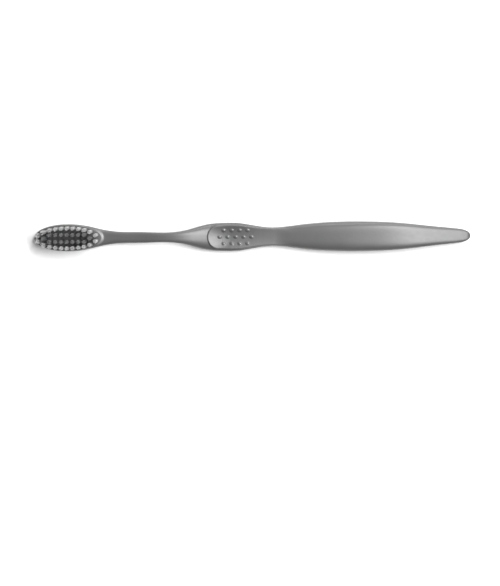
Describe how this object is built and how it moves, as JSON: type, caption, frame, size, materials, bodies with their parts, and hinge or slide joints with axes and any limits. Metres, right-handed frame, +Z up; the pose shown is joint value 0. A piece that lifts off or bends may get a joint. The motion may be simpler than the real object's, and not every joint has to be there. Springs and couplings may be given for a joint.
{
  "type": "manual toothbrush",
  "caption": "Manual toothbrush with an oval tufted head, slim arched neck, dished thumb rest with raised dots, swelling grip and tapered tail, lying on its back.",
  "frame": {"origin": "on the table under the middle of the overall length, with the brush lying on its back", "axes": "+X from the head to the tail, +Z up along the tufts, +Y across the handle"},
  "size_m": [0.1898, 0.013, 0.0155],
  "materials": {
    "handle_plastic": "satin, fine moulded grain",
    "outer_bristle": "light nylon filament",
    "inner_bristle": "dark nylon filament",
    "anchor_brass": "rolled strip"
  },
  "bodies": {
    "root": {"handle": "handle_plastic", "anchor_staples": "anchor_brass", "outer_tuft_01": "outer_bristle", "outer_tuft_02": "outer_bristle", "outer_tuft_03": "outer_bristle", "outer_tuft_04": "outer_bristle", "outer_tuft_05": "outer_bristle", "outer_tuft_06": "outer_bristle", "outer_tuft_07": "outer_bristle", "outer_tuft_08": "outer_bristle", "outer_tuft_09": "outer_bristle", "outer_tuft_10": "outer_bristle", "outer_tuft_11": "outer_bristle", "outer_tuft_12": "outer_bristle", "outer_tuft_13": "outer_bristle", "outer_tuft_14": "outer_bristle", "outer_tuft_15": "outer_bristle", "outer_tuft_16": "outer_bristle", "outer_tuft_17": "outer_bristle", "outer_tuft_18": "outer_bristle", "outer_tuft_19": "outer_bristle", "outer_tuft_20": "outer_bristle", "outer_tuft_21": "outer_bristle", "outer_tuft_22": "outer_bristle", "inner_tuft_01": "inner_bristle", "inner_tuft_02": "inner_bristle", "inner_tuft_03": "inner_bristle", "inner_tuft_04": "inner_bristle", "inner_tuft_05": "inner_bristle", "inner_tuft_06": "inner_bristle", "inner_tuft_07": "inner_bristle", "inner_tuft_08": "inner_bristle", "inner_tuft_09": "inner_bristle", "inner_tuft_10": "inner_bristle", "inner_tuft_11": "inner_bristle", "inner_tuft_12": "inner_bristle", "inner_tuft_13": "inner_bristle", "inner_tuft_14": "inner_bristle", "inner_tuft_15": "inner_bristle", "inner_tuft_16": "inner_bristle"}
  },
  "joints": []
}
